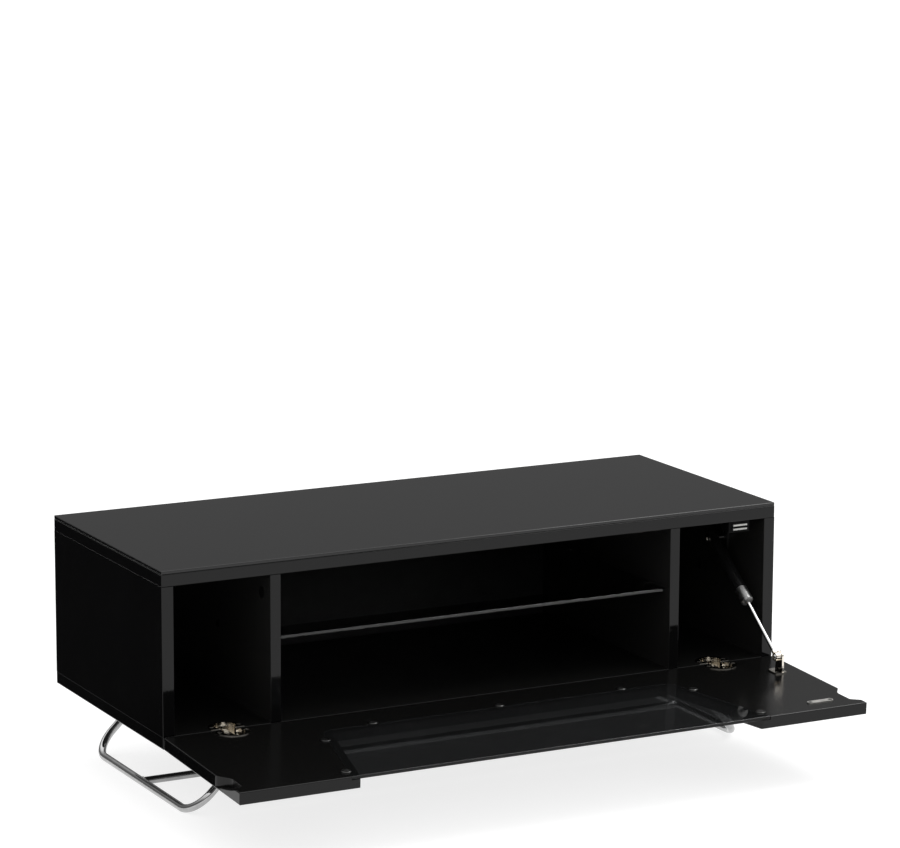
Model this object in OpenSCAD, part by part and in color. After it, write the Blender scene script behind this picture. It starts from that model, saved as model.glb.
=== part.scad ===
// Low media cabinet: a glass-topped carcass on two chrome hoops, with a glass shelf
// and a full-width drop-down door that a sliding stay holds open.
// Millimetres, +Z up, front towards -Y. The origin is on the floor, under the middle
// of the cabinet with its door open.

/* [Carcass] */
// Width of the carcass and of the door
width = 1000; // [960:5:1100]
// Depth of the carcass, front edge to back edge
depth = 400; // [360:5:480]
// Height of the carcass, from its underside to the top of the glass
height = 255; // [245:1:290]
// Clearance under the carcass
leg_height = 109; // [95:1:130]
// Thickness of the top, bottom and side boards
board = 18; // [16:0.5:22]
// Thickness of the two dividers
divider_board = 16; // [12:0.5:18]
// Clear width between the dividers
centre_bay = 637; // [600:1:700]
// Thickness of the glass on the top
top_glass_t = 5; // [4:0.5:8]

/* [Shelf and back] */
// Thickness of the glass shelf
shelf_t = 5; // [4:0.5:8]
// Height of the shelf's upper face above the carcass underside
shelf_z = 140; // [110:1:170]
// Distance from the front edge of the carcass to the shelf
shelf_setback = 11; // [5:1:40]
// Thickness of the back panel
back_t = 4; // [3:0.5:6]
// Distance from the back edge of the carcass to the back panel
back_inset = 8; // [5:1:15]

/* [Door] */
// Thickness of the door board
door_board = 18; // [16:0.5:20]
// Height of the door when it is shut
door_height = 254; // [240:1:286]
// Gap between the open door and the bottom board
open_gap = 3.8; // [3.6:0.1:5]
// Gap between the shut door and the carcass
shut_gap = 3.4; // [3.2:0.1:5]
// Angle of the open door below level, in degrees
door_droop = 2.35; // [0:0.05:4]
// Half width of the window at the free edge
window_half = 321; // [300:1:330]
// How much the window's side leans in, per unit towards the hinge
window_slope = 0.25; // [0:0.01:0.3]
// Distance from the hinge edge to the glass
glass_start = 57; // [50:1:80]
// Overlap of the glass on the board around the window
glass_lap = 13; // [8:1:16]
// Thickness of the door glass
door_glass_t = 5; // [4:0.5:6]

/* [Finger scoops] */
// Distance from the hinge edge to the start of a scoop
scoop_start = 174; // [150:1:185]
// Distance from the hinge edge to the end of a scoop
scoop_end = 243; // [230:1:248]
// Depth of a scoop across the width of the door
scoop_depth = 14.5; // [8:0.5:16]
// Thickness of the lip that a scoop leaves at its deep end
scoop_lip = 3; // [2:0.5:6]

/* [Hinges] */
// Distance from the cabinet's middle to each hinge
hinge_x = 400; // [360:1:430]
// Radius of a hinge cup
cup_r = 17.5; // [17:0.5:18]
// Depth of a hinge cup in its board
cup_depth = 14; // [12.5:0.5:14]
// Distance from a board's edge to the middle of its cup
cup_set = 14.5; // [14:0.5:15.5]

/* [Stay] */
// Plane of the stay, measured from the cabinet's middle
stay_x = 459; // [452:1:462]
// Upper pivot, back from the front edge
stay_top_y = 107; // [100:1:115]
// Upper pivot, above the carcass underside
stay_top_z = 183; // [176:1:190]
// Lower pivot, from the hinge edge of the door
stay_foot_s = 72.5; // [68:0.5:78]
// Lower pivot, above the inner face of the door
stay_foot_h = 24; // [22:0.5:26]
// Outer radius of the stay's tube
stay_r = 9; // [8:0.5:10]
// Radius of the stay's rod
rod_r = 3; // [2.5:0.5:4]

/* [Legs] */
// Radius of the chrome bar
bar_r = 6; // [5:0.5:8]
// Distance from the cabinet's middle to each floor rail
rail_x = 452; // [430:1:470]
// Lean of the hoops towards the middle, in degrees
hoop_lean = 46; // [30:1:50]
// Front upright, back from the front edge of the carcass
hoop_front = 10; // [8:1:30]
// Rear upright, back from the front edge of the carcass
hoop_back = 372; // [340:1:380]
// Bend radius of the hoops
hoop_bend = 40; // [30:1:50]
// Cross bar, back from the front edge of the carcass
cross_y = 193; // [150:1:250]

/* [Hidden] */
$fn = 48;

bite = 1;
arris = 1.5;
board_ease = 1.2;
upright_ease = 0.8;
glass_ease = 1;
glass_corner = 2;
shelf_corner = 3;
over = 0.01;
half_w = width / 2;
panel_top = height - top_glass_t;
inner_top = panel_top - board;
wall_h = inner_top - board;
divider_x = centre_bay / 2;
back_y = depth - back_inset - back_t;
groove = 6;
lacquer = "#141414";
nickel = "#b9b2a4";
chrome = "#d9dcdc";
steel = "#8d8f90";
smoked = [0.12, 0.13, 0.13, 0.55];
plastic = "#1b1b1c";
beech = "#c9a878";

// Door pivot: both the open and the shut positions of the hinge edge turn about it
pivot_y = -(door_board + shut_gap + open_gap) / 2;
pivot_z = (board + shut_gap - open_gap) / 2;
free_edge = pivot_y + open_gap + door_height;
door_reach = -pivot_y + (door_height + open_gap + pivot_y - arris) * cos(door_droop)
    + (board - pivot_z - arris) * sin(door_droop) + arris;
front_y = -(depth - door_reach) / 2;

// Fasteners: places along the depth
dowel_ys = [72, 300];
screw_ys = [48, 328];
cam_ys = [29, 355];
cam_drop = 31;
cam_r = 7.5;
cam_t = 12.5;
cam_slot = [3, 8, 1.4];
dowel_r = 4;
dowel_in = 10;
dowel_l = 30;
confirmat_r = 3.5;
confirmat_head = [5, 3];
confirmat_socket_r = 2.3;
confirmat_l = 50;
bolt_r = 3.5;
cap_r = 8.5;
cap_t = 1.2;
middle_caps = [182, 121];
middle_cap_r = 6;
pin_ys = [67, 310];
pin_r = 2.5;
pin_head_r = 3.5;
pin_in = 8;
pin_out = 10;
upright_xs = [-half_w + board / 2, -divider_x - divider_board / 2,
    divider_x + divider_board / 2, half_w - board / 2];
side_xs = [upright_xs[0], upright_xs[3]];
divider_xs = [upright_xs[1], upright_xs[2]];

// Hinges
shell = 1.2;
shell_set = 1;
flange_r = 26;
flange_y = 8;
flange_t = 1.2;
flange_set = 3;
arm_half = 5;
arm_t = 5;
arm_end_r = 3.3;
arm_root = [10.5, 22.5];
ear_w = 8;
ear_end_r = arm_end_r + 0.8;
ear_gap = 0.4;
ear_t = 2.5;
hinge_pin_r = 2;
running = 0.05;
hinge_screw_x = 21;
hinge_screw_y = 12;
small_screw_r = 1.75;
small_head_r = 3.4;
small_head_t = 1.2;
small_screw_l = 13;
screw_slot = [3.2, 0.8, 0.8];

// Magnetic catch and its strike
catch_x = 438.5;
catch_z = 223.5;
catch_w = 36;
plate_w = 24;
plate_t = 2.5;
plate_gap = 3.5;
plate_front = -1.5;
strike_w = 43;
strike_d = 10;
strike_t = 1.5;
strike_s = 223.5;

// Stay: places along its own axis, from the upper pivot
stay_foot = [-open_gap - stay_foot_s, board + stay_foot_h];
foot_arm = stay_foot - [pivot_y, pivot_z];
stay_foot_y = pivot_y + foot_arm[0] * cos(door_droop) - foot_arm[1] * sin(door_droop);
stay_foot_z = pivot_z + foot_arm[0] * sin(door_droop) + foot_arm[1] * cos(door_droop);
stay_dy = stay_foot_y - stay_top_y;
stay_dz = stay_foot_z - stay_top_z;
stay_open = sqrt(stay_dy * stay_dy + stay_dz * stay_dz);
stay_angle = atan2(-stay_dz, -stay_dy);
stay_wall = 1;
plug_start = -8;
plug_end = 12;
rod_tail = 1;
tube_start = 8;
tube_end = 118;
collar_start = 103;
collar_end = 128;
gland_start = 117;
collar_r = stay_r + 0.6;
collar_arris = 1.5;
piston_start = 107.5;
piston_l = 8;
stay_pin_r = 3;
stay_pin_l = 31;
eye_r = 6.5;
eye_half = 4;
neck_r = 3.9;
neck_start = stay_open - 10.5;
neck_socket = 3.5;
foot_pin_r = 2.5;
pin_head = [4.1, 3.3, 1.5];
foot_gap = 0.4;
foot_ear_t = 3;
foot_ear_r = 8;
foot_ear_w = 20;
foot_plate = [20, 26, 2];

// Legs
mount_plate_t = 4;
cross_r = bar_r - 0.3;
hoop_top = leg_height - mount_plate_t;
slope_l = (hoop_top - bar_r) / cos(hoop_lean);
hoop_top_x = rail_x - slope_l * sin(hoop_lean);

module at_carcass() translate([0, front_y, leg_height]) children();

// Children are drawn with the door level: y = -distance from the hinge edge,
// z = height above the inner face
module on_door()
    at_carcass()
        translate([0, pivot_y, pivot_z])
            rotate([door_droop, 0, 0])
                translate([0, -pivot_y - open_gap, board - pivot_z]) children();

// Children are drawn with x across the stay and z along it, from the upper pivot
module on_stay()
    at_carcass()
        translate([stay_x, stay_top_y, stay_top_z])
            rotate([90 + stay_angle, 0, 0]) children();

// Lays a drawing of (depth, height) in the YZ plane and gives it a width along X
module across(w) rotate([90, 0, 90]) linear_extrude(w, center = true) children();

module both() for (side = [-1, 1]) translate([side * hinge_x, 0, 0]) children();

module rounded_square(w, d, r) {
    square([w - 2 * r, d], center = true);
    square([w, d - 2 * r], center = true);
    for (sx = [-1, 1], sy = [-1, 1])
        translate([sx * (w / 2 - r), sy * (d / 2 - r)]) circle(r);
}

module slab(w, d, t, r) linear_extrude(t) rounded_square(w, d, r);

// A slab whose upper and lower rims are eased as well
module eased_slab(w, d, t, r, ease)
    intersection() {
        slab(w, d, t, r);
        translate([0, 0, t / 2]) across(w + 2 * bite) rounded_square(d, t, ease);
        translate([0, 0, t / 2]) rotate([90, 0, 0])
            linear_extrude(d + 2 * bite, center = true) rounded_square(w, t, ease);
    }

module screw(head_r, head_t, r, l) {
    translate([0, 0, -head_t]) cylinder(h = head_t, r1 = r, r2 = head_r);
    translate([0, 0, -l]) cylinder(h = l - head_t + over, r = r);
}

module small_screw() {
    difference() {
        screw(small_head_r, small_head_t, small_screw_r, small_screw_l);
        for (turn = [0, 90])
            rotate([0, 0, turn]) cube([screw_slot[0], screw_slot[1], 2 * screw_slot[2]], center = true);
    }
}

module small_screw_hole() screw(small_head_r, small_head_t, small_screw_r, small_screw_l);

module confirmat() screw(confirmat_head[0], confirmat_head[1], confirmat_r, confirmat_l);

module dowel_set(ends)
    for (x = upright_xs, y = dowel_ys, z = ends)
        translate([x, y, z]) cylinder(h = dowel_l, r = dowel_r);

bottom_dowel_z = board - dowel_in;
top_dowel_z = inner_top + dowel_in - dowel_l;

module all_dowels() dowel_set([bottom_dowel_z, top_dowel_z]);

module all_confirmats() {
    for (x = upright_xs, y = screw_ys) translate([x, y, 0]) mirror([0, 0, 1]) confirmat();
    for (x = side_xs, y = screw_ys) translate([x, y, panel_top]) confirmat();
}

module cam_bolt_set(r)
    for (x = divider_xs, y = cam_ys)
        translate([x, y, inner_top - cam_drop]) cylinder(h = cam_drop + dowel_in, r = r);

module cam_set(r)
    for (side = [-1, 1], y = cam_ys)
        translate([side * (divider_x + divider_board - cam_t), y, inner_top - cam_drop])
            rotate([0, side * 90, 0]) cylinder(h = cam_t, r = r);

module back_groove()
    translate([-half_w + board - groove, back_y, board - groove])
        cube([width - 2 * board + 2 * groove, back_t, wall_h + 2 * groove]);

module horizontal_board()
    translate([0, depth / 2, 0]) eased_slab(width, depth, board, arris, board_ease);

module upright(x, t, d)
    translate([x, d / 2, board]) slab(t, d, wall_h, upright_ease);

module top_glass() color("#303234")
    at_carcass() translate([0, depth / 2, panel_top])
        eased_slab(width, depth, top_glass_t, glass_corner, glass_ease);

module top_panel() color(lacquer)
    at_carcass() difference() {
        translate([0, 0, inner_top]) horizontal_board();
        back_groove();
        all_dowels();
        all_confirmats();
        cam_bolt_set(bolt_r);
        catch_screw_set();
    }

module bottom_panel() color(lacquer)
    at_carcass() difference() {
        horizontal_board();
        back_groove();
        all_dowels();
        all_confirmats();
        both() base_recess();
        both() base_screw_set();
        leg_screw_set();
    }

module side_panel(side)
    at_carcass() difference() {
        upright(side * (half_w - board / 2), board, depth);
        back_groove();
        all_dowels();
        all_confirmats();
        middle_cap_stems(side, half_w - board, -1);
        if (side > 0) stay_bracket_screw_set();
    }

module side_panel_left() color(lacquer) side_panel(-1);

module side_panel_right() color(lacquer) side_panel(1);

module divider(side)
    at_carcass() difference() {
        upright(side * (divider_x + divider_board / 2), divider_board, back_y);
        all_dowels();
        all_confirmats();
        cam_set(cam_r);
        cam_bolt_set(bolt_r);
        middle_cap_stems(side, divider_x + divider_board, 1);
        shelf_pin_set();
    }

module divider_left() color(lacquer) divider(-1);

module divider_right() color(lacquer) divider(1);

module back_panel() color("#101011") at_carcass() back_groove();

shelf_side_gap = 2;
shelf_back_gap = 20;
shelf_d = back_y - shelf_back_gap - shelf_setback;

module glass_shelf() color(smoked)
    at_carcass()
        translate([0, shelf_setback + shelf_d / 2, shelf_z - shelf_t])
            eased_slab(centre_bay - 2 * shelf_side_gap, shelf_d, shelf_t, shelf_corner, glass_ease);

module shelf_pin_set()
    for (side = [-1, 1], y = pin_ys)
        translate([side * divider_x, y, shelf_z - shelf_t - pin_head_r])
            rotate([0, -side * 90, 0]) {
                translate([0, 0, -pin_in]) cylinder(h = pin_in, r = pin_r);
                cylinder(h = pin_out, r = pin_head_r);
            }

module shelf_pins() color(nickel) at_carcass() shelf_pin_set();

module dowels() color(beech) at_carcass() all_dowels();

module panel_screws() color(steel)
    at_carcass() {
        for (x = upright_xs, y = screw_ys)
            translate([x, y, 0]) mirror([0, 0, 1]) socket_confirmat();
        for (x = side_xs, y = screw_ys) translate([x, y, panel_top]) socket_confirmat();
    }

module socket_confirmat()
    difference() {
        confirmat();
        translate([0, 0, -confirmat_head[1]])
            cylinder(h = confirmat_head[1] + bite, r = confirmat_socket_r, $fn = 6);
    }

module cam_locks() color(steel)
    at_carcass() difference() {
        cam_set(cam_r);
        cam_bolt_set(bolt_r);
        for (side = [-1, 1], y = cam_ys)
            translate([side * (divider_x + divider_board), y, inner_top - cam_drop])
                cube(cam_slot, center = true);
    }

module cam_bolts() color(steel) at_carcass() cam_bolt_set(bolt_r);

cap_stem_l = 4;

module middle_cap_stems(side, x, facing)
    translate([side * x, middle_caps[0], middle_caps[1]])
        rotate([0, -side * facing * 90, 0]) cylinder(h = cap_stem_l, r = dowel_r);

module dome_cap(r) {
    cylinder(h = cap_t / 2, r = r);
    translate([0, 0, cap_t / 2]) cylinder(h = cap_t / 2, r1 = r, r2 = r * 0.8);
}

module cover_caps() color(plastic)
    at_carcass() for (side = [-1, 1]) {
        for (y = cam_ys)
            translate([side * (divider_x + divider_board), y, inner_top - cam_drop])
                rotate([0, side * 90, 0]) dome_cap(cap_r);
        translate([side * (divider_x + divider_board), middle_caps[0], middle_caps[1]])
            rotate([0, side * 90, 0]) dome_cap(middle_cap_r);
        translate([side * (half_w - board), middle_caps[0], middle_caps[1]])
            rotate([0, -side * 90, 0]) dome_cap(middle_cap_r);
        middle_cap_stems(side, half_w - board, -1);
        middle_cap_stems(side, divider_x + divider_board, 1);
    }

// The recess of a cup in the bottom board, open to the board's front edge
module base_recess()
    translate([0, cup_set, board - cup_depth]) cylinder(h = cup_depth + bite, r = cup_r);

module base_screw_set()
    for (side = [-1, 1])
        translate([side * hinge_screw_x, hinge_screw_y, board + flange_t]) small_screw_hole();

// A cup with its flange: y runs into the board from its edge, z = 0 is its face
module cup_shell() {
    difference() {
        translate([0, cup_set, -cup_depth]) cylinder(h = cup_depth, r = cup_r);
        translate([0, cup_set, -cup_depth + shell]) cylinder(h = cup_depth, r = cup_r - shell);
        translate([-half_w, -depth + shell_set, -board]) cube([width, depth, 2 * board]);
    }
    difference() {
        translate([0, flange_y, 0]) cylinder(h = flange_t, r = flange_r);
        translate([0, cup_set, -bite]) cylinder(h = board, r = cup_r - shell);
        translate([-half_w, -depth + flange_set, -board]) cube([width, depth, 2 * board]);
        for (side = [-1, 1])
            translate([side * hinge_screw_x, hinge_screw_y, flange_t]) small_screw_hole();
    }
}

module hinge_base()
    at_carcass() {
        translate([0, 0, board]) cup_shell();
        difference() {
            across(2 * arm_half) {
                translate([pivot_y, pivot_z]) circle(arm_end_r);
                translate([pivot_y, pivot_z - arm_t / 2]) square([-pivot_y + cup_set, arm_t]);
                translate([arm_root[0], board - cup_depth + shell - over])
                    square([arm_root[1] - arm_root[0],
                        pivot_z + arm_t / 2 - board + cup_depth - shell + over]);
            }
            translate([0, pivot_y, pivot_z]) rotate([0, 90, 0])
                cylinder(h = width, r = hinge_pin_r + running, center = true);
        }
    }

module hinge_base_left() color(nickel) translate([-hinge_x, 0, 0]) hinge_base();

module hinge_base_right() color(nickel) translate([hinge_x, 0, 0]) hinge_base();

module hinge_base_screws() color(nickel)
    at_carcass() both() for (side = [-1, 1])
        translate([side * hinge_screw_x, hinge_screw_y, board + flange_t]) small_screw();

// Places along the depth: front of the casing, back of the casing, back of its screw ears
catch_y = [2, 22, 34];
catch_h = 2 * (inner_top - catch_z);
catch_ear_h = 3;
catch_screw_x = 11;
plate_back = 18;
magnet_y = [4, 16];

module catch_screw_set()
    for (side = [-1, 1])
        translate([catch_x + side * catch_screw_x, (catch_y[1] + catch_y[2]) / 2, inner_top - catch_ear_h])
            mirror([0, 0, 1]) small_screw_hole();

module pole_plates()
    for (side = [-1, 1])
        translate([catch_x - plate_w / 2, plate_front,
                catch_z + side * (plate_gap + plate_t) / 2 - plate_t / 2])
            cube([plate_w, plate_back - plate_front, plate_t]);

module magnet_block()
    translate([catch_x - plate_w / 2, magnet_y[0], catch_z - plate_gap / 2])
        cube([plate_w, magnet_y[1] - magnet_y[0], plate_gap]);

module catch_body() color(plastic)
    at_carcass() difference() {
        union() {
            translate([catch_x - catch_w / 2, catch_y[0], catch_z - catch_h / 2])
                cube([catch_w, catch_y[1] - catch_y[0], catch_h]);
            translate([catch_x - catch_w / 2, catch_y[1] - over, inner_top - catch_ear_h])
                cube([catch_w, catch_y[2] - catch_y[1] + over, catch_ear_h]);
        }
        pole_plates();
        magnet_block();
        catch_screw_set();
    }

module catch_pole_plates() color(nickel) at_carcass() pole_plates();

module catch_magnet() color("#3a3a3c") at_carcass() magnet_block();

module catch_screws() color(nickel)
    at_carcass() for (side = [-1, 1])
        translate([catch_x + side * catch_screw_x, (catch_y[1] + catch_y[2]) / 2, inner_top - catch_ear_h])
            mirror([0, 0, 1]) small_screw();

bracket_t = 2;
bracket_w = 22;
bracket_h = 42;
bracket_mid = [112, 176.5];
bracket_pitch = 32;
bracket_corner = 6;
boss_r = 6;
boss_h = 5;
bracket_face = half_w - board - bracket_t;

module stay_bracket_screw_set()
    for (side = [-1, 1])
        translate([bracket_face, bracket_mid[0], bracket_mid[1] + side * bracket_pitch / 2])
            rotate([0, -90, 0]) small_screw_hole();

module stay_top_bracket() color("#2a2a2b")
    at_carcass() difference() {
        union() {
            translate([bracket_face + bracket_t / 2, bracket_mid[0], bracket_mid[1]])
                across(bracket_t) rounded_square(bracket_w, bracket_h, bracket_corner);
            translate([bracket_face - boss_h, stay_top_y, stay_top_z])
                rotate([0, 90, 0]) cylinder(h = boss_h + over, r = boss_r);
        }
        stay_bracket_screw_set();
        translate([bracket_face - stay_pin_l, stay_top_y, stay_top_z])
            rotate([0, 90, 0]) cylinder(h = stay_pin_l + bracket_t, r = stay_pin_r);
    }

module stay_top_pin() color(chrome)
    at_carcass() difference() {
        translate([bracket_face - stay_pin_l, stay_top_y, stay_top_z])
            rotate([0, 90, 0]) cylinder(h = stay_pin_l + bracket_t, r = stay_pin_r);
        pin_clip_ring();
    }

// An E-clip: a flat ring that sits in a groove of the pin and is open below
ring_t = 0.8;
ring_r = stay_pin_r + 3;
ring_groove = 0.7;
ring_mouth = 3.2;
ring_x = stay_x - stay_r - ring_t;

module pin_clip_ring()
    translate([ring_x, stay_top_y, stay_top_z]) rotate([0, -90, 0])
        difference() {
            cylinder(h = ring_t, r = ring_r);
            translate([0, 0, -bite]) cylinder(h = ring_t + 2 * bite, r = stay_pin_r - ring_groove);
        }

module stay_pin_clip() color(nickel)
    at_carcass() difference() {
        pin_clip_ring();
        translate([ring_x - 2 * ring_t, stay_top_y - ring_mouth / 2, stay_top_z - 2 * ring_r])
            cube([4 * ring_t, ring_mouth, 2 * ring_r]);
    }

module stay_bracket_screws() color(nickel)
    at_carcass() for (side = [-1, 1])
        translate([bracket_face, bracket_mid[0], bracket_mid[1] + side * bracket_pitch / 2])
            rotate([0, -90, 0]) small_screw();

// A hoop in its own plane: y along the floor rail, z up the slope
module hoop(side)
    intersection() {
        translate([side * rail_x, front_y, bar_r]) rotate([0, -side * hoop_lean, 0]) {
            translate([0, hoop_front + hoop_bend, 0]) rotate([-90, 0, 0])
                cylinder(h = hoop_back - hoop_front - 2 * hoop_bend, r = bar_r);
            for (y = [hoop_front, hoop_back])
                translate([0, y, hoop_bend]) cylinder(h = slope_l, r = bar_r);
            translate([0, hoop_front + hoop_bend, hoop_bend])
                rotate([90, 0, 90]) rotate([0, 0, 180]) bend();
            translate([0, hoop_back - hoop_bend, hoop_bend])
                rotate([90, 0, 90]) rotate([0, 0, 270]) bend();
        }
        translate([-width, -width, -bite]) cube([2 * width, 2 * width, hoop_top + bite]);
    }

module bend() rotate_extrude(angle = 90) translate([hoop_bend, 0]) circle(bar_r);

module leg_left() color(chrome) hoop(-1);

module leg_right() color(chrome) hoop(1);

module leg_cross_bar() color(chrome)
    difference() {
        translate([0, front_y + cross_y, bar_r]) rotate([0, 90, 0])
            cylinder(h = 2 * rail_x, r = cross_r, center = true);
        for (side = [-1, 1])
            translate([side * rail_x, front_y + cross_y, bar_r]) rotate([90, 0, 0])
                cylinder(h = 4 * bar_r, r = bar_r, center = true);
    }

leg_plate = [52, 38, mount_plate_t];
leg_plate_shift = [-10, 12];
leg_plate_corner = 6;
leg_screw_spots = [[-25, 4], [-25, 24], [2, 24]];

// Children are drawn at the top of each upright, mirrored to face the middle
module each_foot()
    for (side = [-1, 1], end = [[hoop_front, 1], [hoop_back, -1]])
        translate([side * hoop_top_x, end[0], 0])
            mirror([side < 0 ? 1 : 0, 0, 0])
                mirror([0, end[1] < 0 ? 1 : 0, 0]) children();

module leg_screw_set()
    each_foot() for (spot = leg_screw_spots)
        translate([spot[0], spot[1], -mount_plate_t]) mirror([0, 0, 1]) small_screw_hole();

module leg_plates() color(chrome)
    at_carcass() difference() {
        each_foot()
            translate([leg_plate_shift[0], leg_plate_shift[1], -mount_plate_t])
                slab(leg_plate[0], leg_plate[1], leg_plate[2], leg_plate_corner);
        leg_screw_set();
    }

module leg_screws() color(nickel)
    at_carcass() each_foot() for (spot = leg_screw_spots)
        translate([spot[0], spot[1], -mount_plate_t]) mirror([0, 0, 1]) small_screw();

window_corner = 8;
pane_corner = 20;
pane_gap = 0.3;

// Half width of the window at a distance s from the hinge edge
function window_at(s) = window_half - (door_height - s) * window_slope;

// Window outline, widened by lap on its three closed sides
module window(lap, corner) {
    start = glass_start + glass_lap - lap;
    end = door_height + bite;
    lean = atan(window_slope);
    near = window_at(start) + lap / cos(lean);
    far = window_at(end) + lap / cos(lean);
    reach = corner * tan((90 - lean) / 2);
    difference() {
        polygon([[-near, -start], [near, -start], [far, -end], [-far, -end]]);
        for (turn = [0, 1]) mirror([turn, 0])
            translate([near, -start]) difference() {
                polygon([[-reach, -corner], [-reach, bite], [reach, bite], [reach, -reach * cos(lean)],
                    [reach * sin(lean), -reach * cos(lean)]]);
                translate([-reach, -corner]) circle(corner);
            }
    }
}

// Outline of a finger scoop: an S-curve in, a straight run and an S-curve out
function ease(t) = t * t * (3 - 2 * t);
scoop_in = 26;
scoop_out = 15;
scoop_steps = 10;

module scoop_plan()
    polygon(concat(
        [[half_w + bite, -scoop_start]],
        [for (i = [0 : scoop_steps])
            [half_w - scoop_depth * ease(i / scoop_steps), -scoop_start - scoop_in * i / scoop_steps]],
        [for (i = [0 : scoop_steps])
            [half_w - scoop_depth * (1 - ease(i / scoop_steps)),
                -scoop_end + scoop_out * (1 - i / scoop_steps)]],
        [[half_w + bite, -scoop_end]]));

// Side view of a scoop: its floor is an arc from the deep end up to the inner face
scoop_floor_r = 228;

module scoop_side() {
    run = scoop_end - scoop_start;
    drop = door_board - scoop_lip;
    chord = sqrt(run * run + drop * drop);
    rise = atan(drop / run);
    sag = sqrt(scoop_floor_r * scoop_floor_r - chord * chord / 4);
    mid = [-(scoop_start + scoop_end) / 2, -drop / 2];
    intersection() {
        translate([-scoop_end, -door_board]) square([run, door_board + bite]);
        union() {
            translate(mid + sag * [sin(rise), cos(rise)]) circle(scoop_floor_r, $fn = 180);
            translate([-scoop_end, 0]) square([run, bite]);
        }
    }
}

module scoops()
    for (turn = [0, 1]) mirror([turn, 0, 0])
        intersection() {
            translate([0, 0, -door_board - bite]) linear_extrude(door_board + 3 * bite) scoop_plan();
            translate([half_w, 0, 0]) across(4 * scoop_depth) scoop_side();
        }

module cup_recess() translate([0, -cup_set, -cup_depth]) cylinder(h = cup_depth + bite, r = cup_r);

module door_panel() color(lacquer)
    on_door() difference() {
        translate([0, -door_height / 2, -door_board])
            eased_slab(width, door_height, door_board, arris, arris);
        translate([0, 0, -door_board - bite])
            linear_extrude(door_board + 2 * bite) window(0, window_corner);
        translate([0, 0, -door_glass_t])
            linear_extrude(door_glass_t + bite) window(glass_lap, pane_corner);
        scoops();
        both() cup_recess();
        both() cup_screw_set();
        clip_screw_set();
        strike_screw_set();
        foot_screw_set();
    }

glass_edge_gap = 1;

module door_glass() color(smoked)
    on_door() intersection() {
        translate([0, 0, -door_glass_t])
            linear_extrude(door_glass_t) window(glass_lap - pane_gap, pane_corner);
        translate([0, glass_edge_gap - door_height / 2, -door_glass_t])
            eased_slab(width, door_height, door_glass_t, glass_corner, glass_ease);
    }

clip_r = 7.5;
clip_t = 1.6;
clip_arris = 1;
clip_offset = 3.5;
clip_rear_xs = [-203, 0, 203];
clip_side_ss = [98, 231];
clip_spots = concat(
    [for (x = clip_rear_xs) [x, -glass_start + clip_offset]],
    [for (side = [-1, 1], s = clip_side_ss) [side * (window_at(s) + glass_lap + clip_offset), -s]]);

module clip_screw_set()
    for (spot = clip_spots) translate([spot[0], spot[1], clip_t]) small_screw_hole();

module glass_clips() color("#3c3b39")
    on_door() difference() {
        for (spot = clip_spots) translate([spot[0], spot[1], 0]) {
            cylinder(h = clip_t / 2, r = clip_r);
            translate([0, 0, clip_t / 2]) cylinder(h = clip_t / 2, r1 = clip_r, r2 = clip_r - clip_arris);
        }
        clip_screw_set();
    }

module glass_clip_screws() color(nickel)
    on_door() for (spot = clip_spots) translate([spot[0], spot[1], clip_t]) small_screw();

module cup_screw_set()
    for (side = [-1, 1])
        translate([side * hinge_screw_x, -hinge_screw_y, flange_t]) small_screw_hole();

pin_s = -pivot_y - open_gap;
pin_h = pivot_z - board;
ear_x = arm_half + ear_gap;

module hinge_cup()
    on_door() {
        mirror([0, 1, 0]) cup_shell();
        difference() {
            for (side = [-1, 1])
                translate([side * (ear_x + ear_t / 2), 0, 0]) across(ear_t) {
                    translate([-pin_s, pin_h]) circle(ear_end_r);
                    translate([-pin_s - ear_w / 2, -cup_depth + shell - over])
                        square([ear_w, pin_h + cup_depth - shell + over]);
                }
            translate([0, -pin_s, pin_h]) rotate([0, 90, 0])
                cylinder(h = width, r = hinge_pin_r, center = true);
        }
    }

module hinge_cup_left() color(nickel) translate([-hinge_x, 0, 0]) hinge_cup();

module hinge_cup_right() color(nickel) translate([hinge_x, 0, 0]) hinge_cup();

module hinge_cup_screws() color(nickel)
    on_door() both() for (side = [-1, 1])
        translate([side * hinge_screw_x, -hinge_screw_y, flange_t]) small_screw();

module hinge_pins() color(steel)
    on_door() both() translate([0, -pin_s, pin_h]) rotate([0, 90, 0])
        cylinder(h = 2 * (ear_x + ear_t), r = hinge_pin_r, center = true);

strike_screw_x = 17;
strike_corner = 4.5;

module strike_screw_set()
    for (side = [-1, 1])
        translate([catch_x + side * strike_screw_x, -strike_s, strike_t]) small_screw_hole();

module strike_plate() color(nickel)
    on_door() difference() {
        translate([catch_x, -strike_s, 0]) slab(strike_w, strike_d, strike_t, strike_corner);
        strike_screw_set();
    }

module strike_screws() color(nickel)
    on_door() for (side = [-1, 1])
        translate([catch_x + side * strike_screw_x, -strike_s, strike_t]) small_screw();

foot_ear_x = stay_x + eye_half + foot_gap;
foot_screw_spots = [[-5.5, -8], [-5.5, 8]];
foot_plate_corner = 4;

foot_plate_x = stay_x + 2;

module foot_screw_set()
    for (spot = foot_screw_spots)
        translate([foot_plate_x + spot[0], -stay_foot_s + spot[1], foot_plate[2]]) small_screw_hole();

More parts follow.
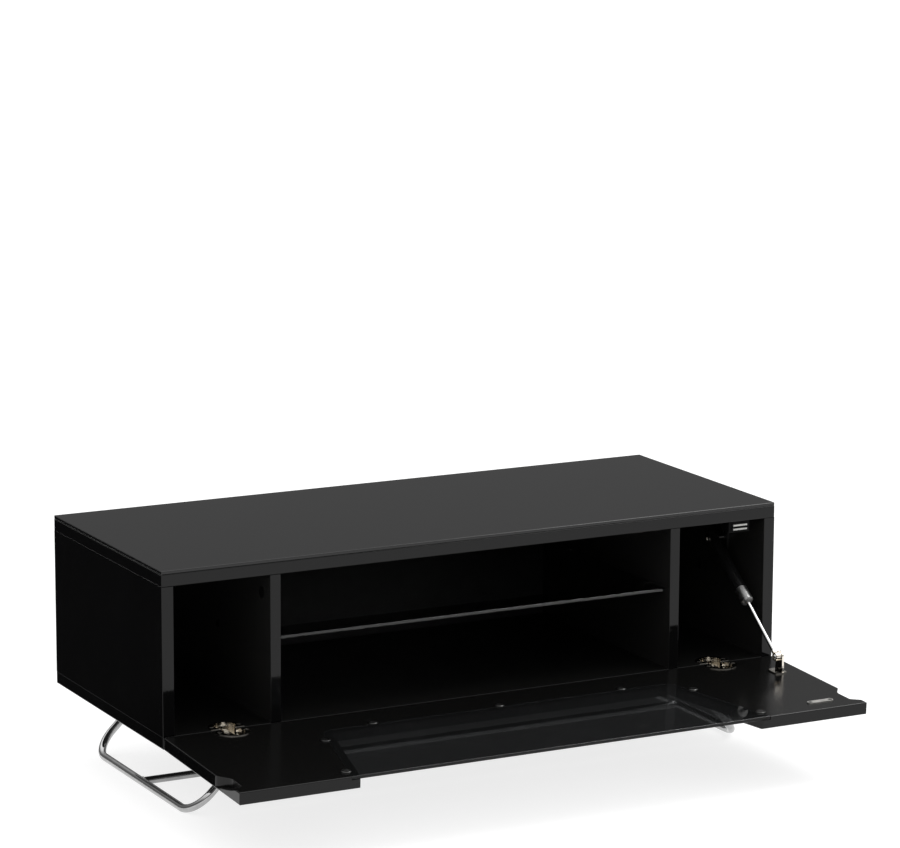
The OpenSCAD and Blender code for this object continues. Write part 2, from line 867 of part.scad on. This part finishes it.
module stay_foot_bracket() color(nickel)
    on_door() difference() {
        union() {
            translate([foot_plate_x, -stay_foot_s, 0])
                slab(foot_plate[0], foot_plate[1], foot_plate[2], foot_plate_corner);
            translate([foot_ear_x + foot_ear_t / 2, -stay_foot_s, 0]) across(foot_ear_t) hull() {
                translate([0, stay_foot_h]) circle(foot_ear_r, $fn = 32);
                translate([-foot_ear_w / 2, 0]) square([foot_ear_w, foot_plate[2]]);
            }
        }
        foot_screw_set();
        translate([0, -stay_foot_s, stay_foot_h]) rotate([0, 90, 0])
            cylinder(h = width, r = foot_pin_r);
    }

module stay_foot_screws() color(nickel)
    on_door() for (spot = foot_screw_spots)
        translate([foot_plate_x + spot[0], -stay_foot_s + spot[1], foot_plate[2]]) small_screw();

module stay_foot_rivet() color(chrome)
    on_door() translate([foot_ear_x, -stay_foot_s, stay_foot_h]) rotate([0, 90, 0]) {
        cylinder(h = foot_ear_t, r = foot_pin_r);
        translate([0, 0, foot_ear_t]) cylinder(h = pin_head[2], r1 = pin_head[0], r2 = pin_head[1]);
    }

module span(from, to, r) translate([0, 0, from]) cylinder(h = to - from, r = r);

module stay_tube() color("#2b2c2d")
    on_stay() difference() {
        span(tube_start, tube_end, stay_r);
        span(tube_start - bite, tube_end + bite, stay_r - stay_wall);
    }

module stay_tube_plug() color("#2b2c2d")
    on_stay() difference() {
        span(plug_start, plug_end, stay_r - stay_wall);
        rotate([0, 90, 0]) cylinder(h = 4 * stay_r, r = stay_pin_r + running, center = true);
    }

module stay_gland() color("#a7a7a5")
    on_stay() difference() {
        union() {
            span(collar_start, collar_end - collar_arris, collar_r);
            translate([0, 0, collar_end - collar_arris])
                cylinder(h = collar_arris, r1 = collar_r, r2 = collar_r - collar_arris);
        }
        difference() {
            span(collar_start - bite, tube_end, stay_r);
            span(gland_start, tube_end + bite, stay_r - stay_wall);
        }
        span(collar_start - 2 * bite, collar_end + bite, rod_r + running);
    }

module stay_rod() color(chrome) on_stay() span(piston_start - rod_tail, neck_start + neck_socket, rod_r);

module stay_piston() color(plastic)
    on_stay() difference() {
        span(piston_start, piston_start + piston_l, stay_r - stay_wall - 0.1);
        span(piston_start - bite, piston_start + piston_l + bite, rod_r);
    }

module stay_rod_eye() color(nickel)
    on_stay() difference() {
        union() {
            span(neck_start, stay_open - eye_r + 1, neck_r);
            translate([0, 0, stay_open]) rotate([0, 90, 0])
                cylinder(h = 2 * eye_half, r = eye_r, center = true);
        }
        span(neck_start - bite, neck_start + neck_socket, rod_r);
        translate([0, 0, stay_open]) rotate([0, 90, 0])
            cylinder(h = 4 * eye_half, r = foot_pin_r, center = true);
    }

module stay_foot_pin() color(chrome)
    on_stay() translate([0, 0, stay_open]) rotate([0, 90, 0]) {
        translate([0, 0, -eye_half]) cylinder(h = 2 * eye_half, r = foot_pin_r);
        translate([0, 0, -eye_half - pin_head[2]])
            cylinder(h = pin_head[2], r1 = pin_head[1], r2 = pin_head[0]);
    }

top_glass();
top_panel();
bottom_panel();
side_panel_left();
side_panel_right();
divider_left();
divider_right();
back_panel();
glass_shelf();
shelf_pins();
dowels();
panel_screws();
cam_locks();
cam_bolts();
cover_caps();
hinge_base_left();
hinge_base_right();
hinge_base_screws();
catch_body();
catch_pole_plates();
catch_magnet();
catch_screws();
stay_top_bracket();
stay_top_pin();
stay_pin_clip();
stay_bracket_screws();
leg_left();
leg_right();
leg_cross_bar();
leg_plates();
leg_screws();
door_panel();
door_glass();
glass_clips();
glass_clip_screws();
hinge_cup_left();
hinge_cup_right();
hinge_cup_screws();
hinge_pins();
strike_plate();
strike_screws();
stay_foot_bracket();
stay_foot_screws();
stay_foot_rivet();
stay_tube();
stay_tube_plug();
stay_gland();
stay_rod();
stay_piston();
stay_rod_eye();
stay_foot_pin();
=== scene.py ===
import math

import bmesh
import bpy
from mathutils import Matrix, Vector


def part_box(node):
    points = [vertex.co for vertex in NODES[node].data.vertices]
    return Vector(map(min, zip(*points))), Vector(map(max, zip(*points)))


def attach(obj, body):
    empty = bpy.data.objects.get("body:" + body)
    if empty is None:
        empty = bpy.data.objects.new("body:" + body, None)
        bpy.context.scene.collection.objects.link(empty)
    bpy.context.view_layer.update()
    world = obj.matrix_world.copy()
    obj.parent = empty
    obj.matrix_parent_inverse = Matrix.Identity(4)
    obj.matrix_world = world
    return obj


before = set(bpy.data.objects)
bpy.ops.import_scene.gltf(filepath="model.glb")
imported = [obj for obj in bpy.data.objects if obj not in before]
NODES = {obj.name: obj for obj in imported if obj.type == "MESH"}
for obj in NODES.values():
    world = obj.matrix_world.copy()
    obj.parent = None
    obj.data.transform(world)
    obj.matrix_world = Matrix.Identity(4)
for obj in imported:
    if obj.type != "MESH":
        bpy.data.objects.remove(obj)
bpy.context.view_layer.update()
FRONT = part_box("top_panel")[0].y
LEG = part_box("bottom_panel")[0].z
MM = 0.001
DROOP = math.radians(2.35)  # how far the open door hangs below level


# Node graphs -------------------------------------------------------------------


class Graph:
    """A node tree, and short ways to add nodes to it."""

    def __init__(self, tree):
        self.tree = tree
        tree.nodes.clear()
        self.place = tree.nodes.new("ShaderNodeTexCoord")

    def put(self, value, socket):
        """Link a socket to this one, or set it to a number or colour."""
        if isinstance(value, bpy.types.NodeSocket):
            self.tree.links.new(value, socket)
        else:
            socket.default_value = value

    def calc(self, operation, a, b=0.0):
        node = self.tree.nodes.new("ShaderNodeMath")
        node.operation = operation
        self.put(a, node.inputs[0])
        self.put(b, node.inputs[1])
        return node.outputs[0]

    def span(self, value, low, high, to_low=0.0, to_high=1.0):
        """A smooth step from to_low to to_high, as the value goes from low to high."""
        node = self.tree.nodes.new("ShaderNodeMapRange")
        node.interpolation_type = "SMOOTHSTEP"
        for socket, number in zip(node.inputs[1:5], (low, high, to_low, to_high)):
            self.put(number, socket)
        self.put(value, node.inputs[0])
        return node.outputs[0]

    def axis(self, index, vector):
        node = self.tree.nodes.new("ShaderNodeSeparateXYZ")
        self.tree.links.new(vector, node.inputs[0])
        return node.outputs[index]


class Shade(Graph):
    """A material under construction: one Principled BSDF and the textures that feed it."""

    def __init__(self, name, **sockets):
        self.material = bpy.data.materials.new(name)
        self.material.use_nodes = True
        super().__init__(self.material.node_tree)
        self.bsdf = self.tree.nodes.new("ShaderNodeBsdfPrincipled")
        output = self.tree.nodes.new("ShaderNodeOutputMaterial")
        self.tree.links.new(self.bsdf.outputs[0], output.inputs[0])
        for key, value in sockets.items():
            self.bsdf.inputs[key.replace("_", " ")].default_value = value

    def feed(self, name, value):
        self.put(value, self.bsdf.inputs[name])

    def stretched(self, stretch):
        """Object coordinates, with a scale of their own along each axis."""
        node = self.tree.nodes.new("ShaderNodeMapping")
        self.tree.links.new(self.place.outputs["Object"], node.inputs["Vector"])
        node.inputs["Scale"].default_value = stretch
        return node.outputs[0]

    def noise(self, scale, detail, rough, distort=0.0, where=None):
        node = self.tree.nodes.new("ShaderNodeTexNoise")
        self.tree.links.new(where or self.place.outputs["Object"], node.inputs["Vector"])
        node.inputs["Scale"].default_value = scale
        node.inputs["Detail"].default_value = detail
        node.inputs["Roughness"].default_value = rough
        node.inputs["Distortion"].default_value = distort
        return node.outputs["Fac"]

    def blend(self, factor, a, b):
        """Two numbers blended by a factor."""
        node = self.tree.nodes.new("ShaderNodeMix")
        self.put(factor, node.inputs[0])
        self.put(a, node.inputs[2])
        self.put(b, node.inputs[3])
        return node.outputs[0]

    def tint(self, factor, a, b):
        """Two colours blended by a factor."""
        node = self.tree.nodes.new("ShaderNodeMix")
        node.data_type = "RGBA"
        self.put(factor, node.inputs[0])
        for colour, socket in ((a, node.inputs[6]), (b, node.inputs[7])):
            self.put(colour if isinstance(colour, bpy.types.NodeSocket) else (*colour, 1), socket)
        return node.outputs[2]

    def facing(self, direction, low=0.6, high=0.9):
        """1 where the surface faces that way at rest, 0 elsewhere."""
        node = self.tree.nodes.new("ShaderNodeVectorMath")
        node.operation = "DOT_PRODUCT"
        self.tree.links.new(self.place.outputs["Normal"], node.inputs[0])
        node.inputs[1].default_value = direction
        return self.span(node.outputs["Value"], low, high)

    def outermost(self, index, reach):
        """1 beyond that far from the middle along an axis, where the whole size is 1."""
        offset = self.calc("SUBTRACT", self.axis(index, self.place.outputs["Generated"]), 0.5)
        return self.calc("GREATER_THAN", self.calc("ABSOLUTE", offset), reach)

    def relief(self, height, depth, after=None):
        """A bump of that depth, on top of the one given as after."""
        node = self.tree.nodes.new("ShaderNodeBump")
        node.inputs["Distance"].default_value = depth
        self.put(height, node.inputs["Height"])
        if after is not None:
            self.tree.links.new(after, node.inputs["Normal"])
        return node.outputs[0]


# Materials ---------------------------------------------------------------------

# Ways that a surface can face with the door open; OUT, FREE and HINGED are the door's own
LEFT, RIGHT, AHEAD, BEHIND = (-1, 0, 0), (1, 0, 0), (0, -1, 0), (0, 1, 0)
UP, DOWN = (0, 0, 1), (0, 0, -1)
UP_AHEAD = (0, -math.sqrt(0.5), math.sqrt(0.5))
OUT = (0, -math.sin(DROOP), -math.cos(DROOP))
FREE = (0, -math.cos(DROOP), math.sin(DROOP))
HINGED = (0, math.cos(DROOP), -math.sin(DROOP))

LACQUER_IOR, COVER_GLASS_IOR, CLEAR_GLASS_IOR, DULL_PLASTIC_IOR = 1.34, 1.45, 1.5, 1.15
DARK_LACQUER, LIGHT_LACQUER = (0.0006, 0.0006, 0.0007), (0.0011, 0.0011, 0.0012)
# The second grey, for the bay walls' satin, is lighter than the other boards': painted light that
# lifts the dim bays
SATIN_GREY, BAY_PAINTED_LIGHT_GREY = 0.0026, 0.01
SATIN_ROUGHNESS, BAY_FLOOR_ROUGHNESS, RUBBED_ROUGHNESS = 0.15, 0.28, 0.85
# Where the door's lacquered edges start, from its middle, as parts of its width and height
DOOR_ENDS, DOOR_EDGES = 0.4985, 0.488
FLAT = 0.5  # the height of a surface with no relief
MIDDLE = (0.3, 0.7)  # the part of a noise's range that a whole blend is spread over
DUSTLESS_BLACK, DUST_GREY = (0.0022, 0.0022, 0.0023), (0.012, 0.012, 0.012)
DARK_SMOKE, LIGHT_SMOKE = (0.105, 0.108, 0.11), (0.12, 0.123, 0.126)


def board(name, glossy, face=None, dull=None, grey=SATIN_GREY, rough=SATIN_ROUGHNESS):
    """Black board: high-gloss lacquer where it faces one of the glossy ways, satin elsewhere.

    With a face, that way is lacquered all over and the others only round the outside,
    not in the board's cut-outs. An arris that faces the dull way is rubbed matt.
    """
    s = Shade(name, IOR=LACQUER_IOR)
    gloss = 0.0
    for direction in glossy:
        gloss = s.calc("MAXIMUM", gloss, s.facing(direction))
    if face is not None:
        ends = s.outermost(0, DOOR_ENDS)
        gloss = s.calc("MULTIPLY", gloss, s.calc("MAXIMUM", ends, s.outermost(1, DOOR_EDGES)))
        gloss = s.calc("MAXIMUM", gloss, s.facing(face))
    cloud = s.noise(9, detail=4, rough=0.6)
    fine = s.span(s.noise(900, detail=2, rough=0.6), 0.35, 0.75)
    dark_satin = (grey, grey, 0.96 * grey)
    light_satin = (1.85 * grey, 1.82 * grey, 1.75 * grey)
    satin = s.tint(fine, dark_satin, light_satin)
    lacquer = s.tint(s.span(cloud, *MIDDLE), DARK_LACQUER, LIGHT_LACQUER)
    s.feed("Base Color", s.tint(gloss, satin, lacquer))
    smear = s.span(s.noise(14, detail=5, rough=0.65, distort=0.6), 0.42, 0.72)
    shine = s.blend(gloss, s.blend(cloud, rough, 1.4 * rough), s.blend(smear, 0.04, 0.09))
    if dull is not None:
        shine = s.blend(s.facing(dull, 0.8, 0.95), shine, RUBBED_ROUGHNESS)
    s.feed("Roughness", shine)
    grain = s.blend(gloss, s.noise(2600, detail=2, rough=0.6), FLAT)
    orange_peel = s.blend(gloss, FLAT, s.noise(240, detail=2, rough=0.5))
    s.feed("Normal", s.relief(orange_peel, 0.01 * MM, after=s.relief(grain, 0.03 * MM)))
    return s.material


def black_glass():
    """The cover glass on the top, black behind, with smears and a few specks of dust."""
    s = Shade("black_glass", IOR=COVER_GLASS_IOR)
    smear = s.span(s.noise(7, detail=5, rough=0.6, distort=0.8), 0.4, 0.75)
    dust = s.span(s.noise(700, detail=2, rough=0.5), 0.74, 0.8)
    s.feed("Base Color", s.tint(dust, DUSTLESS_BLACK, DUST_GREY))
    s.feed("Roughness", s.blend(smear, 0.05, 0.1))
    s.feed("Normal", s.relief(s.noise(18, detail=2, rough=0.5), 0.02 * MM))
    return s.material


def smoked_glass(name, clear, edge, rim):
    """Grey glass: how much of it is clear and not dusty, and its rim's tint and roughness."""
    s = Shade(name, IOR=CLEAR_GLASS_IOR, Transmission_Weight=clear)
    smear = s.span(s.noise(9, detail=5, rough=0.6, distort=0.8), 0.45, 0.75)
    flat = s.calc("MAXIMUM", s.facing(UP), s.facing(DOWN))
    pane = s.tint(smear, DARK_SMOKE, LIGHT_SMOKE)
    s.feed("Base Color", s.tint(flat, (edge, edge, edge), pane))
    s.feed("Roughness", s.blend(flat, rim, s.blend(smear, 0.0, 0.03)))
    return s.material


def metal(name, dark, light, smooth, rough, scratch=0.004 * MM):
    """A metal between two tints and two roughnesses, with scratches of that depth."""
    s = Shade(name, Metallic=1.0)
    lines = s.noise(420, detail=3, rough=0.6)
    cloud = s.noise(60, detail=4, rough=0.6)
    s.feed("Base Color", s.tint(s.span(cloud, *MIDDLE), dark, light))
    s.feed("Roughness", s.blend(s.span(lines, *MIDDLE), smooth, rough))
    s.feed("Normal", s.relief(lines, scratch))
    return s.material


def paint(name, dark, light, smooth, rough, grain=1200, depth=0.03 * MM, **sockets):
    """A coat or plain solid between two tints and two roughnesses, with a fine grain."""
    s = Shade(name, **sockets)
    fine = s.noise(grain, detail=3, rough=0.6)
    cloud = s.noise(50, detail=4, rough=0.6)
    s.feed("Base Color", s.tint(s.span(cloud, *MIDDLE), dark, light))
    s.feed("Roughness", s.blend(s.span(fine, *MIDDLE), smooth, rough))
    s.feed("Normal", s.relief(fine, depth))
    return s.material


def beech():
    s = Shade("beech", Roughness=0.6)
    along_grain = s.stretched((1, 1, 0.06))
    rings = s.noise(260, detail=4, rough=0.6, distort=0.4, where=along_grain)
    pale, brown = (0.62, 0.45, 0.28), (0.42, 0.27, 0.15)
    s.feed("Base Color", s.tint(s.span(rings, *MIDDLE), brown, pale))
    s.feed("Normal", s.relief(rings, 0.08 * MM))
    return s.material


nickel = metal("nickel", (0.66, 0.61, 0.53), (0.9, 0.86, 0.79), 0.05, 0.14, scratch=0.13 * MM)
bright_nickel = metal(
    "bright_nickel", (0.42, 0.41, 0.39), (0.62, 0.61, 0.58), 0.34, 0.5, scratch=0.02 * MM
)
zinc = metal("zinc", (0.5, 0.48, 0.45), (0.66, 0.64, 0.6), 0.22, 0.4)
chrome = metal("chrome", (0.4, 0.4, 0.4), (0.48, 0.48, 0.48), 0.03, 0.09, scratch=0.002 * MM)
rod_chrome = metal(
    "rod_chrome", (0.42, 0.42, 0.415), (0.5, 0.5, 0.495), 0.06, 0.14, scratch=0.01 * MM
)
# The cross bar's chrome is a darker copy of the legs' chrome: painted shade for the dark things
# the bar mirrors
shaded_bar_chrome = metal(
    "shaded_bar_chrome", (0.28, 0.28, 0.28), (0.34, 0.34, 0.34), 0.03, 0.09, scratch=0.002 * MM
)
aluminium = metal("satin_aluminium", (0.2, 0.2, 0.198), (0.28, 0.28, 0.276), 0.26, 0.42)
plate_steel = metal("plate_steel", (0.34, 0.34, 0.33), (0.44, 0.44, 0.42), 0.3, 0.45)
gunmetal = metal("gunmetal", (0.035, 0.035, 0.035), (0.06, 0.06, 0.058), 0.28, 0.4)
dark_steel = metal("dark_steel", (0.1, 0.1, 0.1), (0.16, 0.16, 0.155), 0.28, 0.4)
black_paint = paint(
    "black_paint", (0.004, 0.004, 0.0042), (0.007, 0.007, 0.0074), 0.16, 0.26
)
plastic = paint(
    "black_plastic", (0.002, 0.002, 0.002), (0.0035, 0.0035, 0.0035), 0.5, 0.65,
    IOR=DULL_PLASTIC_IOR,
)
ferrite = paint("ferrite", (0.11, 0.11, 0.112), (0.16, 0.16, 0.162), 0.5, 0.7)
back_film = paint(
    "back_film", (0.016, 0.016, 0.016), (0.024, 0.024, 0.024), 0.4, 0.55,
    grain=700, depth=0.05 * MM,
)

FINISH = {
    "top_glass": black_glass(),
    "top_panel": board("top_board", (LEFT, RIGHT, AHEAD, BEHIND)),
    "bottom_panel": board(
        "bottom_board", (LEFT, RIGHT, AHEAD, BEHIND), dull=UP_AHEAD, rough=BAY_FLOOR_ROUGHNESS
    ),
    # The side panels and divider take the lighter bay grey: painted light on the dim bay walls
    "side_panel_left": board("left_board", (LEFT, AHEAD, BEHIND), grey=BAY_PAINTED_LIGHT_GREY),
    "side_panel_right": board("right_board", (RIGHT, AHEAD, BEHIND), grey=BAY_PAINTED_LIGHT_GREY),
    "divider_left": board("divider_board", (AHEAD, BEHIND), grey=BAY_PAINTED_LIGHT_GREY),
    "door_panel": board("door_board", (FREE, HINGED, LEFT, RIGHT), face=OUT),
    "back_panel": back_film,
    "glass_shelf": smoked_glass("shelf_glass", clear=1.0, edge=0.11, rim=0.02),
    "door_glass": smoked_glass("window_glass", clear=0.96, edge=0.02, rim=0.9),
    "dowels": beech(),
    "catch_magnet": ferrite,
    "catch_pole_plates": plate_steel,
    "strike_plate": bright_nickel,
    "glass_clips": gunmetal,
    "glass_clip_screws": dark_steel,
    "strike_screws": dark_steel,
    "stay_gland": aluminium,
}
FINISH["divider_right"] = FINISH["divider_left"]
GROUPS = (
    (chrome, "leg_left leg_right leg_plates stay_top_pin"),
    # the cross bar takes the darker chrome, painted shade
    (shaded_bar_chrome, "leg_cross_bar"),
    (rod_chrome, "stay_rod stay_foot_pin stay_foot_rivet"),
    (nickel, "shelf_pins hinge_base_left hinge_base_right hinge_cup_left hinge_cup_right"
     " stay_foot_bracket stay_rod_eye stay_pin_clip"),
    (zinc, "hinge_base_screws hinge_cup_screws stay_foot_screws stay_bracket_screws"
     " catch_screws leg_screws panel_screws cam_locks cam_bolts hinge_pins"),
    (plastic, "cover_caps catch_body stay_piston"),
    (black_paint, "stay_top_bracket stay_tube stay_tube_plug"),
)
for material, names in GROUPS:
    for name in names.split():
        FINISH[name] = material
for name, node in NODES.items():
    node.data.materials.clear()
    node.data.materials.append(FINISH[name])


# Pieces ------------------------------------------------------------------------


def tube(name, path, radii, sides, low, material):
    """A closed ring of tube along a path, with its own radius at each point, cut off at low."""
    mesh = bmesh.new()
    rings = []
    count = len(path)
    for i, (point, radius) in enumerate(zip(path, radii)):
        along = (path[(i + 1) % count] - path[i - 1]).normalized()
        outward = (point - sum(path, Vector()) / count).normalized()
        up = along.cross(outward).normalized()
        outward = up.cross(along)
        ring = []
        for k in range(sides):
            angle = 2 * math.pi * k / sides
            corner = point + radius * (math.cos(angle) * outward + math.sin(angle) * up)
            corner.z = max(corner.z, low)
            ring.append(mesh.verts.new(corner))
        rings.append(ring)
    for i in range(count):
        for k in range(sides):
            a, b = rings[i], rings[(i + 1) % count]
            mesh.faces.new((a[k], b[k], b[(k + 1) % sides], a[(k + 1) % sides]))
    bmesh.ops.recalc_face_normals(mesh, faces=mesh.faces)
    data = bpy.data.meshes.new(name)
    mesh.to_mesh(data)
    mesh.free()
    for face in data.polygons:
        face.use_smooth = True
    data.materials.append(material)
    piece = bpy.data.objects.new(name, data)
    bpy.context.scene.collection.objects.link(piece)
    return piece


BEAD_RADIUS, RIPPLE, RIPPLES = 1.0 * MM, 0.12 * MM, 24
BEAD_STEPS, BEAD_SIDES = 96, 12
BEAD_LOW = 0.2 * MM  # keeps the bead clear of the floor


def weld_bead(name, side):
    """The bead round an end of the cross bar, where it meets a floor rail."""
    low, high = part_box("leg_cross_bar")
    bar = (high.z - low.z) / 2
    middle_y = (low.y + high.y) / 2
    middle_z = (low.z + high.z) / 2
    rail_r = middle_z  # the rail lies on the floor, at the bar's height
    leg_low, leg_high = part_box("leg_left" if side < 0 else "leg_right")
    rail_x = leg_low.x + rail_r if side < 0 else leg_high.x - rail_r
    path, radii = [], []
    for i in range(BEAD_STEPS):
        angle = 2 * math.pi * i / BEAD_STEPS
        rise = bar * math.sin(angle)
        reach = math.sqrt(rail_r * rail_r - rise * rise)
        y = middle_y + bar * math.cos(angle)
        path.append(Vector((rail_x - side * reach, y, middle_z + rise)))
        radii.append(BEAD_RADIUS + RIPPLE * math.cos(RIPPLES * angle))
    piece = tube(name, path, radii, BEAD_SIDES, BEAD_LOW, chrome)
    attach(piece, "cabinet")


weld_bead("weld_bead_left", -1)
weld_bead("weld_bead_right", 1)

# Stage -------------------------------------------------------------------------

RAYS = ("camera", "diffuse", "glossy", "transmission", "volume_scatter", "shadow")


def stage_piece(piece, material, seen_by=RAYS):
    piece.data.materials.append(material)
    bpy.context.scene.collection.objects.link(piece)
    for kind in RAYS:
        setattr(piece, "visible_" + kind, kind in seen_by)


def card(name, low, high, height, material, seen_by=RAYS):
    """A level rectangle between two corners."""
    mesh = bpy.data.meshes.new(name)
    corners = [(low[0], low[1]), (high[0], low[1]), (high[0], high[1]), (low[0], high[1])]
    mesh.from_pydata([(x, y, height) for x, y in corners], [], [(0, 1, 2, 3)])
    stage_piece(bpy.data.objects.new(name, mesh), material, seen_by)


def dome(name, radius, material):
    """A ball all round, which only the camera sees."""
    mesh = bmesh.new()
    bmesh.ops.create_icosphere(mesh, subdivisions=4, radius=radius)
    data = bpy.data.meshes.new(name)
    mesh.to_mesh(data)
    mesh.free()
    stage_piece(bpy.data.objects.new(name, data), material, ("camera",))


def glowing(name, grey, strength):
    """A matt grey that also gives out white light."""
    shade = Shade(name, Roughness=0.9, Specular_IOR_Level=0.1)
    cloud = shade.noise(3, detail=4, rough=0.6)
    shade.feed("Base Color", shade.tint(cloud, (grey,) * 3, (1.02 * grey,) * 3))
    shade.feed("Emission Color", (1, 1, 1, 1))
    shade.feed("Emission Strength", strength)
    return shade.material


REACH = 60  # how far the floor goes each way
FLOOR_Z, UNDER_CARD_Z, SIDE_CARD_Z = -0.2 * MM, 0.4 * MM, 1.0 * MM
SIDE_CARD_CORNERS = (-4.0, 0.05), (-0.6, 5.0)
UNDER_CARD_CORNERS = (-REACH, -0.45), (REACH, REACH)
CARD_COLOUR = (0.014, 0.014, 0.014, 1)

black = Shade(
    "black_card", Base_Color=CARD_COLOUR, Roughness=1.0, Specular_IOR_Level=0.0
).material
pale = glowing("pale_floor", grey=0.3, strength=0.8)
card("floor", (-REACH, -REACH), (REACH, REACH), FLOOR_Z, pale)
dome("backdrop", 1.5 * REACH, glowing("pale_backdrop", grey=0.5, strength=1.0))
# A dark card on the floor, which only mirrored rays see. It darkens the left side's gloss.
card("side_card", *SIDE_CARD_CORNERS, SIDE_CARD_Z, black, seen_by=("glossy",))
# A dim glowing card, which only rays through glass see: painted shade standing in for the shaded
# floor under the cabinet, as the smoked glass shows it
painted_shade = glowing("painted_shade_card", grey=0.01, strength=0.1)
card("under_card", *UNDER_CARD_CORNERS, UNDER_CARD_Z, painted_shade, seen_by=("transmission",))

# A plain soft sky: dim all round, brighter ahead of the cabinet and brightest overhead
SKY_GLOW, AHEAD_GLOW, OVERHEAD_GLOW = 0.185, 1.3, 1.5

world = bpy.data.worlds.new("studio")
bpy.context.scene.world = world
world.use_nodes = True
sky = Graph(world.node_tree)
background = sky.tree.nodes.new("ShaderNodeBackground")
sky_output = sky.tree.nodes.new("ShaderNodeOutputWorld")
sky.tree.links.new(background.outputs[0], sky_output.inputs[0])
direction = sky.place.outputs["Generated"]
height = sky.axis(2, direction)
overhead = sky.span(height, 0.3, 0.85, to_high=OVERHEAD_GLOW)
ahead_of_it = sky.span(sky.axis(1, direction), -0.15, -0.6)
above_floor = sky.span(height, 0.2, 0.5, to_high=AHEAD_GLOW)
in_front = sky.calc("MULTIPLY", ahead_of_it, above_floor)
glow = sky.calc("MAXIMUM", overhead, in_front)
sky.put(sky.calc("ADD", glow, SKY_GLOW), background.inputs["Strength"])
background.inputs["Color"].default_value = (1, 1, 1, 1)


def soft_box(name, place, aim, size, radiance):
    lamp = bpy.data.lights.new(name, "AREA")
    lamp.shape = "RECTANGLE"
    lamp.size, lamp.size_y = size
    lamp.energy = radiance * math.pi * size[0] * size[1]
    light = bpy.data.objects.new(name, lamp)
    turn = (Vector(aim) - Vector(place)).to_track_quat("-Z", "Y").to_matrix().to_4x4()
    light.matrix_world = Matrix.Translation(place) @ turn
    light.visible_camera = False
    bpy.context.scene.collection.objects.link(light)


soft_box(
    "key", place=(1.75, -0.56, 2.56), aim=(0.3, FRONT, LEG), size=(1.6, 1.0), radiance=7.0
)

# Camera ------------------------------------------------------------------------

# Solved from the photo's straight edges, together with the cabinet
YAW, PITCH, ROLL = 0.4829, 0.1942, -0.0043
EYE = (-2.4257, FRONT - 4.528, LEG + 1.4287)
FOCAL_LENGTH_MM = 146.3

ahead = Vector(
    (math.sin(YAW) * math.cos(PITCH), math.cos(YAW) * math.cos(PITCH), -math.sin(PITCH))
)
across = Vector((math.cos(YAW), -math.sin(YAW), 0))
down = ahead.cross(across)
image_x = math.cos(ROLL) * across + math.sin(ROLL) * down
image_y = math.sin(ROLL) * across - math.cos(ROLL) * down
lens = bpy.data.cameras.new("camera")
lens.lens = FOCAL_LENGTH_MM
lens.clip_end = 4 * REACH
camera = bpy.data.objects.new("camera", lens)
turn = Matrix((image_x, image_y, -ahead)).transposed().to_4x4()
camera.matrix_world = Matrix.Translation(EYE) @ turn
bpy.context.scene.collection.objects.link(camera)
bpy.context.scene.camera = camera
bpy.context.scene.view_settings.view_transform = "Standard"
